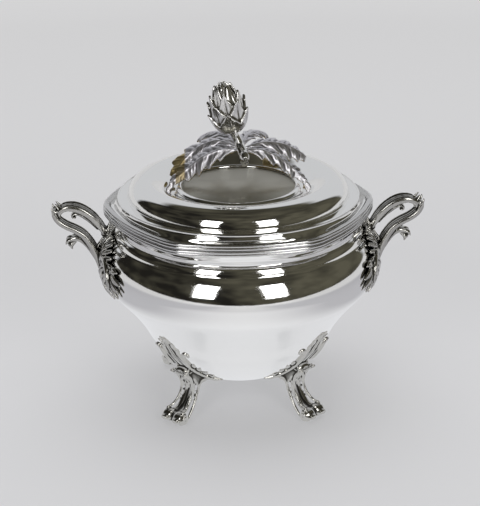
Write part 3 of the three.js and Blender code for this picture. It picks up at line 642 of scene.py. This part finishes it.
for side in (1, -1):
    handle.bar([(157, 3.6 * side, 190, 2.4, 1.4), (163, 4.6 * side, 191.6, 2.4, 1.4),
                (167, 4 * side, 196, 0.8, 0.6)], (0.2, side * 0.5, 1), groove=0.3)
    handle.bar([(164, 5 * side, 188, 1.8, 1.2), (169.4, 6 * side, 189.6, 1.8, 1.2),
                (170.4, 6 * side, 193.4, 0.6, 0.6)], (1, side * 0.4, 0))
    handle.bar([(150, 3.5 * side, 162, 2, 1.2), (157, 4.4 * side, 161, 2, 1.2),
                (159.4, 4.6 * side, 156.4, 0.7, 0.6)], (0.2, side * 0.5, 1), groove=0.3)
    handle.bar([(150, 4 * side, 160, 1.8, 1.1), (154, 5 * side, 155.4, 1.8, 1.1),
                (153.6, 5 * side, 152, 0.7, 0.6)], (-0.4, side * 0.6, 0))
handle.bar([(131, 0, 152.4, 4, 1.4), (128.6, 0, 156, 3.4, 1.3), (126, 0, 160.4, 2, 1),
            (124.8, 0, 163, 0.8, 0.6)], (1, 0, 0.5))
handle.bar([(123.4, 0, 153, 6.4, 2.2), (122.4, 0, 160, 6.2, 2.4), (121.2, 0, 166, 5.6, 2.2),
            (119.6, 0, 172, 4.4, 1.8), (118, 0, 177, 2.2, 1.2)], (1, 0, 0), groove=0.5)
handle.bar([(121.5, 0, 170, 5.6, 2), (124.6, 0, 167.4, 5.8, 2.2), (125.6, 0, 164, 4.4, 1.6)],
           (1, 0, 0))
lobe(handle, [(-16, 136, 1, 11, 1.6), (0, 138, 1.4, 15, 2), (16, 136, 1, 11, 1.6)])
for side in (1, -1):
    for near, low, far, top in ((7, 148, 4, 163.5), (10, 147.5, 12, 165), (13, 147, 20, 164.6),
                                (16, 146, 28, 162.6), (18, 144.6, 36, 159.6), (20, 143, 43, 155.4),
                                (22, 141.6, 48.6, 150.4)):
        lobe(handle,
             [(near, low, 2.4, 1.8, 1.8), ((near + far) / 2, (low + top) / 2 + 1.6, 4.2, 2.7, 2.2),
              (far, top, 3, 2, 1.4)], side, 0.3)
    lobe(handle, [(15, 141, 2, 2, 2), (20, 147.6, 3.6, 2.2, 2.6), (30, 151, 4.4, 2.4, 2.8),
                  (40, 149.6, 4.6, 2.4, 2.8), (48, 144, 4.4, 2.4, 2.8), (51.6, 136.4, 4, 2.2, 2.6),
                  (49.6, 130.4, 3.6, 1.9, 2.2), (45.4, 129.6, 3.4, 1.5, 1.8)], side, 0.3)
    lobe(handle, [(17, 126, 2.2, 3.4, 2.2), (22, 134, 3.6, 4, 2.8), (29, 141, 4, 3.4, 2.4),
                  (35, 144, 3.2, 1.4, 1.2)], side, 0.5)
    lobe(handle, [(27, 127, 2.2, 3.2, 2.2), (34, 133, 3.8, 3.8, 2.8), (40.6, 139, 3.6, 2.8, 2.2),
                  (44, 143, 2.8, 1.1, 1)], side, 0.5)
    for near, low, far, top in ((3, 128, 4, 115), (9, 129, 14, 116), (17, 131, 26, 117.6),
                                (26, 132, 39, 119.6), (36, 133.4, 52, 122), (45, 136, 63, 126),
                                (50, 140, 69, 132), (52, 145, 71, 140), (49, 149, 62, 149)):
        lobe(handle,
             [(near, low, 1.8, 2.6, 1.8), ((near + far) / 2 + 0.5, (low + top) / 2, 3.2, 3.2, 2),
              (far, top, 2.4, 1.1, 0.9)], side, 0.45)
handle_melt = melted(handle, cast_voxel)
for name, turn in (("right", 0), ("left", 180)):
    cast_piece(f"handle_{name}_casting", handle_melt, turn, cast_silver, "bowl",
               *(f"handle_{name}_{part}" for part in ("scroll", "spur", "neck_leaf", "mount")))


# The cover is spun sheet like the bowl: a cove rises from the reeded edge to a small step, and
# the dome rolls over a crest and dishes down to a flat disc in the middle.
edge_z = bowl_top + 0.3
groove_radius, groove_z = 118, edge_z + 2.9
step_radius, step_z = 110.5, groove_z + 8.3
ledge_z = step_z + 0.3
crest_radius, crest_z = 84, step_z + 16.3
dish_radius, dish_z = 56.6, crest_z - 10.3
disc_radius, disc_z = 51.8, dish_z + 0.7
cover_wall = 1.5
cove = run([(groove_radius, groove_z), (115, groove_z + 1.8), (111.7, groove_z + 4.8),
            (110.7, groove_z + 6.8), (step_radius, step_z)], 8)
step = run([(step_radius, step_z), (110.3, ledge_z - 0.1), (109.8, ledge_z), (105, ledge_z),
            (101.6, ledge_z)], 5)
dome = run([(101.3, ledge_z + 0.2), (101.1, ledge_z + 2), (100.5, ledge_z + 4.5),
            (99.4, ledge_z + 7.3), (97.4, ledge_z + 10.2), (94.8, ledge_z + 12.6),
            (91.8, ledge_z + 14.3), (88.6, ledge_z + 15.4), (crest_radius, crest_z),
            (79, crest_z - 0.6), (72, crest_z - 3), (65.2, crest_z - 6.5), (60.6, crest_z - 8.9),
            (dish_radius, dish_z)], 7)
sheet = cove + step[1:] + dome + [(disc_radius, disc_z - 0.3)]


def cover_weight(radius, height):
    return smoothstep(step_radius + 0.5, groove_radius - 0.5, radius)


def round_form(radius, height):
    return 0


turned("cover",
       [(0, disc_z - cover_wall)] + inside(sheet, cover_wall)[::-1] + sheet + [(0, disc_z - 0.3)],
       cover_weight, bright_silver, "cover", "polished_silver", "cover_shell")

# The disc in the middle is left satin and a little yellowed.
satin_silver = Finish("satin_silver")
tarnish = satin_silver.noise(30, 4)
satin_silver.set("Base Color",
                 satin_silver.mix(tarnish, (0.64, 0.62, 0.55, 1), (0.52, 0.51, 0.45, 1)))
satin_silver.set("Roughness", satin_silver.noise(60, 3) * 0.15 + 0.4)
satin_silver.bump(satin_silver.noise(900, 2), 0.0001, 0.3)
turned("cover_disc",
       [(0, disc_z - 0.2), (disc_radius, disc_z - 0.2), (disc_radius - 0.1, disc_z), (0, disc_z)],
       round_form, satin_silver.material, "cover", "polished_silver")


# The cover's edge carries its own reeded wire: a face that meets the bowl's rim, and a flange
# of fine reeds that runs in to the groove at the foot of the cove.
edge_top = edge_z + 5.2
turned("cover_edge", [(118.3, edge_z), (123.4, edge_z)]
       + reeds((123.9, edge_z + 0.1), (124.1, edge_z + 2.8), 1, 0.8)
       + reeds((123.7, edge_z + 2.8), (122.8, edge_top), 1, 0.7)
       + reeds((122.4, edge_top), (119.4, edge_top - 1.2), 3, 0.6)
       + [(118.8, groove_z + 0.2), (118.3, groove_z - 0.4), (118.3, edge_z)],
       whole, reeded_silver, "cover", "reeded_silver", "cover_rim_moulding")


# A plain ring, silver plated, is soldered round the centre disc.
turned("bead_ring", [(disc_radius + 0.3, disc_z - 0.2), (dish_radius, dish_z + 0.4),
                     (dish_radius, dish_z + 0.9)]
       + run([(dish_radius, dish_z + 0.9), (55.6, dish_z + 2.2), (53.8, dish_z + 3.0),
              (52.4, dish_z + 2.4)], 5)
       + [(disc_radius + 0.3, disc_z + 0.8), (disc_radius + 0.3, disc_z - 0.2)],
       round_form, bright_silver, "cover", "reeded_silver", "cover_bead_ring")


# The ring under the cover drops inside the mouth of the bowl and keeps the cover in place.
low_ring, high_ring = (corner.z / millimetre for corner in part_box("cover_bezel"))
ring_inner, ring_outer = 105.6, 107
turned("locating_ring", [(ring_inner, low_ring), (ring_outer, low_ring), (ring_outer, high_ring),
                         (ring_inner, high_ring), (ring_inner, low_ring)],
       round_form, bright_silver, "cover", "polished_silver", "cover_bezel", around=192)


# The finial is an artichoke bud on a cut branch among long lobed leaves, all cast and plated.
# The leaves arch over the centre disc. Their undersides and the worn tips at the left show brass.
# The dark colours below are painted shade, with some tarnish, in the recesses of the bud, branch
# and leaves.
finial_silver = cast_finish("finial_silver", (0.8, 0.79, 0.77, 1), (0.1, 0.092, 0.07, 1), 0.15)
leaf_silver = cast_finish("leaf_silver", (0.78, 0.765, 0.8, 1), (0.2, 0.19, 0.2, 1), 0.36,
                          (0.84, 0.64, 0.22, 1))
bud_base = np.array([-4.5, 0, disc_z + 52])
bud_height, bud_radius, bud_tilt = 44, 16, math.radians(12)
widest = 0.36


def bud_curve(share):
    """Radius of the bud: round below its widest ring and longer above it."""
    reach = np.where(share < widest, 0.41, 0.72)
    return bud_radius * np.sqrt(np.maximum(1 - ((share - widest) / reach) ** 2, 0.015))


def on_bud(points):
    """Bud points, upright on the axis, leaned to the left on top of the branch."""
    cos, sin = math.cos(bud_tilt), math.sin(bud_tilt)
    lean = np.stack([points[..., 0] * cos - points[..., 2] * sin, points[..., 1],
                     points[..., 0] * sin + points[..., 2] * cos], -1)
    return lean + bud_base


def scale_grid(angle, low, high, half, inset, flare):
    """One pointed scale of the bud as a grid: it hugs the bud and its tip leans out.

    low and high are shares of the bud's height. A groove runs down its middle.
    """
    groove, groove_half = 1.1, 0.14
    rows = []
    for s in np.linspace(0, 1, 17):
        share = low + (high - low) * s
        swell = 0.5 + 0.5 * math.sin(math.pi * min(s * 1.1 + 0.12, 1))
        width = half * swell * (1 - s ** 3.2) ** 0.8 + 0.25
        row = []
        for t in np.linspace(-1, 1, 11):
            radius = (bud_curve(share) - inset + flare * s ** 4 + 0.9 * t * t * (1 - s)
                      - groove * math.exp(-(t / groove_half) ** 2))
            turn = angle + t * width / max(bud_curve(share) - inset, 3.5)
            row.append((radius * math.cos(turn), radius * math.sin(turn), share * bud_height))
        rows.append(row)
    return on_bud(np.array(rows))


bud = Casting()
scale_thick = 1.5
for count, phase, *form in (
        (5, -1.62, 0.02, 0.48, 10, -0.2, 3.4), (5, -1, 0.06, 0.68, 10.5, 0.8, 4.6),
        (5, -1.62, 0.14, 0.86, 10, 2, 4.2), (5, -1, 0.32, 1, 8, 3.4, 3.4),
        (3, -1.5, 0.5, 1.06, 6, 4.6, 2.2)):
    for i in range(count):
        bud.sheet(scale_grid(phase + i * 2 * math.pi / count, *form), scale_thick)
core = [(0, 2.4)] + [(s, max(float(bud_curve(s)) - 5.6, 1.2))
                     for s in (0.06, 0.2, widest, 0.55, 0.75, 0.92)]
core = [(0, 0, share * bud_height, radius, radius) for share, radius in core]
core_line = on_bud(np.array([knot[:3] for knot in core]))
bud.bar([(*point, *knot[3:]) for point, knot in zip(core_line, core)], (0, -1, 0), steps=4,
        sides=20)
cast_piece("bud", melted(bud, cast_voxel), 0, finial_silver, "cover",
           "bud_core", "bud_scales_inner", "bud_scales_middle", "bud_scales_outer")

branch = Casting()
branch.bar([(-5, 0, disc_z + 54, 4.6, 4.6), (-3.4, 0, disc_z + 50, 4, 4),
            (-1, 0, disc_z + 45, 3.5, 3.5), (1.4, -1.5, disc_z + 39.6, 4, 4),
            (3.4, -7, disc_z + 35.4, 4.6, 4.8), (5, -13, disc_z + 31.4, 4.2, 5)], (0, -0.6, 1),
           steps=6, sides=16)
branch.bar([(5, -12, disc_z + 31, 4.2, 7), (5.4, -16, disc_z + 30.2, 4.5, 7.6)], (0, 0, 1),
           steps=4, sides=28)
for turn in (0.4, 1.9, 3.3, 4.9):
    dx, dy = 3.6 * math.cos(turn), 3.6 * math.sin(turn)
    branch.bar([(-4.4 + dx, dy, disc_z + 53, 1, 1),
                (-2 + dx * 0.8, dy * 0.8, disc_z + 47, 0.9, 0.9),
                (1 + dx * 0.9, -1.5 + dy * 0.9, disc_z + 40, 0.9, 0.9),
                (3.4 + dx, -6 + dy, disc_z + 34, 0.8, 0.8)], (0, -1, 0.3))
cast_piece("branch", melted(branch, fine_voxel), 0, finial_silver, "cover", "finial_stem")

cover_line = np.array(sheet[::-1]).T


def leaf(knots, lean):
    """A broad lobed leaf along (x, y, z, half width); its front edge hangs by the angle lean.

    Each lobe starts at a notch and sweeps forward, with raised veins, and no point of the leaf
    comes nearer to the cover sheet than the clearance.
    """
    lobes, droop, vein, clearance, gauge = 5, 4, 1.1, 1.2, 1.5
    line = np.array(run(knots, 12))
    share = np.linspace(0, 1, len(line))
    along = unit(np.gradient(line[:, :3], axis=0))
    side = unit(np.stack([-along[:, 1], along[:, 0], 0 * along[:, 0]], -1))
    side *= np.where(side[:, 1:2] < 0, 1, -1)
    face = np.cross(side, along)
    face *= np.sign(face[:, 2:3])
    cos, sin = math.cos(math.radians(lean)), math.sin(math.radians(lean))
    side, face = side * cos - face * sin, face * cos + side * sin
    rows = []
    for s in np.linspace(0, 1, 81):
        step = (s * lobes) % 1
        notch = 0.56 + 0.44 * min(step / 0.8, 1) ** 0.7 * min((1 - step) / 0.12, 1)
        half = np.interp(s, share, line[:, 3]) * notch
        row = []
        for t in np.linspace(-1, 1, 21):
            ahead = min(s + 0.15 * abs(t) ** 1.5 * (1 - 0.7 * s), 1)
            middle, over, up = (np.array([np.interp(ahead, share, table[:, k]) for k in range(3)])
                                for table in (line, side, face))
            wave = (0.5 * math.cos(2 * math.pi * (step - 0.45))
                    + 0.35 * math.cos(6 * math.pi * (step - 0.45)))
            lift = (vein * math.exp(-(t * half / vein) ** 2) - droop * t * t * half / 12
                    + wave * min(abs(t) * 2.5, 1))
            point = middle + over * t * half + up * lift
            point[2] = max(point[2], np.interp(math.hypot(*point[:2]), *cover_line) + clearance)
            row.append(point)
        rows.append(row)
    made = Casting()
    made.sheet(np.array(rows), gauge)
    return made


leaf_forms = (
    ("leaf_front_left", [(0, -1, 242, 5), (-15, -1, 242.6, 11), (-32, 3, 234.6, 13),
                         (-46, 7, 222.4, 9), (-60.4, 2, 212.4, 2.2)], 42),
    ("leaf_left", [(0, 4, 243, 5), (-18, 15, 246, 11), (-35, 22, 238, 13), (-49, 21, 226, 10),
                   (-59, 13, 214, 3)], 30),
    ("leaf_rear_left", [(0, 8, 243, 5), (-8, 30, 247, 9), (-21, 50, 243.6, 11),
                        (-30, 64, 236, 7), (-33, 70, 231, 2)], 10),
    ("leaf_rear_right", [(4, 8, 243, 5), (10, 30, 247, 9), (18, 50, 244, 11), (26, 64, 238, 7),
                         (30, 70, 234, 2)], 10),
    ("leaf_right", [(6, 4, 242, 5), (24, 13, 244, 11), (42, 22, 239, 13), (56, 26, 231, 10),
                    (64, 28, 224, 3)], 30),
    ("leaf_front_right", [(5, -1, 241.4, 5), (20, -1, 241.4, 9), (36, 2, 233.4, 9),
                          (50, 4, 221.4, 7), (60.4, 0, 212, 2.2)], 34))
for name, knots, lean in leaf_forms:
    blade = leaf(knots, lean)
    if name.startswith("leaf_front"):  # a pad over the stud that draws the leaf down
        low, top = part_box("finial_stud_" + name[11:])
        middle, half = (low + top) / 2 / millimetre, (top.x - low.x) / 2 / millimetre + 0.7
        blade.bar([(middle.x, middle.y, low.z / millimetre + 8, half, half),
                   (middle.x, middle.y, top.z / millimetre + 0.8, half, half)], (0, 1, 0), sides=20)
    points, faces, depth, under = melted(blade, cast_voxel)
    if name == "leaf_left":  # the plating is worn off the tip of this leaf
        worn_from, fade = -0.046, 0.008
        under = np.maximum(under, (worn_from - points[:, 0]) / fade)
    if name == "leaf_front_left":  # and off a patch short of the tip of this one
        worn_from, worn_to, fade = -0.047, -0.0585, 0.006
        patch = np.minimum(worn_from - points[:, 0], points[:, 0] - worn_to)
        under = np.maximum(under, patch / fade)
    cast_piece(f"{name}_casting", (points, faces, depth, under), 0, leaf_silver, "cover", name)


# Brass studs, washers and nuts under the cover draw the two low leaves down on the sheet.
brass = Finish("brass", Roughness=0.35)
stain = brass.noise(90, 4)
brass.set("Base Color", brass.mix(stain, (0.62, 0.46, 0.2, 1), (0.3, 0.2, 0.09, 1)))
brass.bump(brass.noise(700, 2, stretch=(1, 1, 6)), 0.0002, 0.4)
for side in ("left", "right"):
    for part in ("stud", "washer", "nut"):
        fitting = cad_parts[f"finial_{part}_{side}"]
        fitting.material_slots[0].material = brass.material


# Pale paper runs under and behind the tureen and curls up a little at the sides. It keeps the
# shadow, and glows a soft grey to the camera. Its mirror image in the silver carries a painted
# light near the tureen and a painted shade to the left and right of it.
def stage_paper():
    finish = Finish("paper", Base_Color=(0.29, 0.29, 0.3, 1), Roughness=0.9, Emission_Strength=1)
    finish.shader.inputs["Metallic"].default_value = 0
    path = finish.tree.nodes.new("ShaderNodeLightPath")
    glossy = Value(finish.tree, path.outputs["Is Glossy Ray"])
    seen = (Value(finish.tree, path.outputs["Is Camera Ray"]) + glossy
            + Value(finish.tree, path.outputs["Is Transmission Ray"])).clamp()
    reach = finish.node("VectorMath", output=1, settings={"operation": "LENGTH"},
                        Vector=finish.node("TexCoord", output=3))
    across = finish.node("SeparateXYZ", output=0, Vector=finish.node("TexCoord", output=3))
    # Only for the silver's mirror image: painted shade on the paper at the left and right, and
    # painted light near the tureen.
    side = (across * across * 14).clamp() * ((1.1 - reach) * 3).clamp() * glossy
    near = ((0.42 - reach) / 0.3).clamp() * glossy
    inner_tone, outer_tone = (0.34, 0.34, 0.345, 1), (0.52, 0.52, 0.525, 1)
    painted_light_tone, painted_shade_tone = (0.62, 0.63, 0.65, 1), (0.18, 0.18, 0.2, 1)
    tone = finish.mix(((reach - 0.4) / 1.4).clamp(), inner_tone, outer_tone)
    tone = finish.mix(near, tone, painted_light_tone)
    tone = finish.mix(side, tone, painted_shade_tone)
    finish.set("Emission Color", finish.mix(seen, (0, 0, 0, 1), tone))
    paper_radius, front_cut = 2.3, 0.8
    side_curl, back_curl, flat_share = 0.2, 0.6, 0.72
    rows = []
    for share in np.linspace(0, 1, 40):
        row = []
        for turn in np.linspace(-math.pi / 2, 1.5 * math.pi, 97):
            back = max(math.sin(turn), 0)
            front = max(-math.sin(turn), 0)
            radius = share * (paper_radius - front_cut * front ** 2)
            height = side_curl * (1 - front) + back_curl * back ** 3
            lift = height * max((share - flat_share) / (1 - flat_share), 0) ** 2
            row.append((radius * math.cos(turn), radius * math.sin(turn), lift))
        rows.append(row)
    count = len(rows[0])
    points = [point for row in rows for point in row]
    faces = [(i * count + j, i * count + j + 1, (i + 1) * count + j + 1, (i + 1) * count + j)
             for i in range(len(rows) - 1) for j in range(count - 1)]
    mesh = bpy.data.meshes.new("paper")
    mesh.from_pydata(points, [], faces)
    mesh.materials.append(finish.material)
    mesh.shade_smooth()
    paper = bpy.data.objects.new("paper", mesh)
    scene.collection.objects.link(paper)


stage_paper()


# Two tall softboxes stand left and right of the camera in a dim room, and a wide lamp fills in
# from above. A pale wall stands behind the paper up to about 50 degrees.
lamp_distance, lamp_aim = 1.5, Vector((0, 0, 0.15))


def softbox(name, side, up, size, power):
    """A rectangular lamp at an angle from the camera's side and a height angle."""
    lamp = bpy.data.lights.new(name, "AREA")
    lamp.shape = "RECTANGLE"
    lamp.size, lamp.size_y = size
    lamp.energy = power
    made = bpy.data.objects.new(name, lamp)
    scene.collection.objects.link(made)
    side, up = math.radians(side) + azimuth, math.radians(up)
    made.location = lamp_aim + lamp_distance * Vector((
        math.sin(side) * math.cos(up), -math.cos(side) * math.cos(up), math.sin(up)))
    made.rotation_euler = (lamp_aim - made.location).to_track_quat("-Z", "Y").to_euler()
    return made


softbox("softbox_left", -28, 24, (0.44, 0.85), 5)
softbox("softbox_right", 29, 24, (0.46, 0.85), 5.4)
fill = softbox("ceiling_fill", 180, 80, (1.8, 1.8), 28)
fill.visible_glossy = False
world = bpy.data.worlds.new("room")
scene.world = world
world.use_nodes = True
room = world.node_tree
back = room.nodes["Background"]
coordinates = room.nodes.new("ShaderNodeTexCoord")
split = room.nodes.new("ShaderNodeSeparateXYZ")
room.links.new(coordinates.outputs["Generated"], split.inputs[0])
cloud = room.nodes.new("ShaderNodeTexNoise")
cloud.inputs["Scale"].default_value = 2.4
room.links.new(coordinates.outputs["Generated"], cloud.inputs["Vector"])
across, depth, height = (Value(room, split.outputs[axis]) for axis in "XYZ")
wide = maths(room, "ABSOLUTE", across, 0)
side_slope, wall_top = 0.75, 0.77  # depth over width at the wall's sides, and sine of its height
behind = ((depth - wide * side_slope) / 0.1 + 0.2).clamp() * ((wall_top - height) / 0.08).clamp()
shade = ((Value(room, cloud.outputs[0]) - 0.5) * 2.2 + across * 0.4 + 0.4).clamp()
dark_room, light_room = (0.014, 0.013, 0.011, 1), (0.1, 0.094, 0.068, 1)
pale_wall = (0.6, 0.61, 0.63, 1)
dim = mixed(room, shade, dark_room, light_room)
wire(room, back.inputs["Color"], mixed(room, behind, dim, pale_wall))
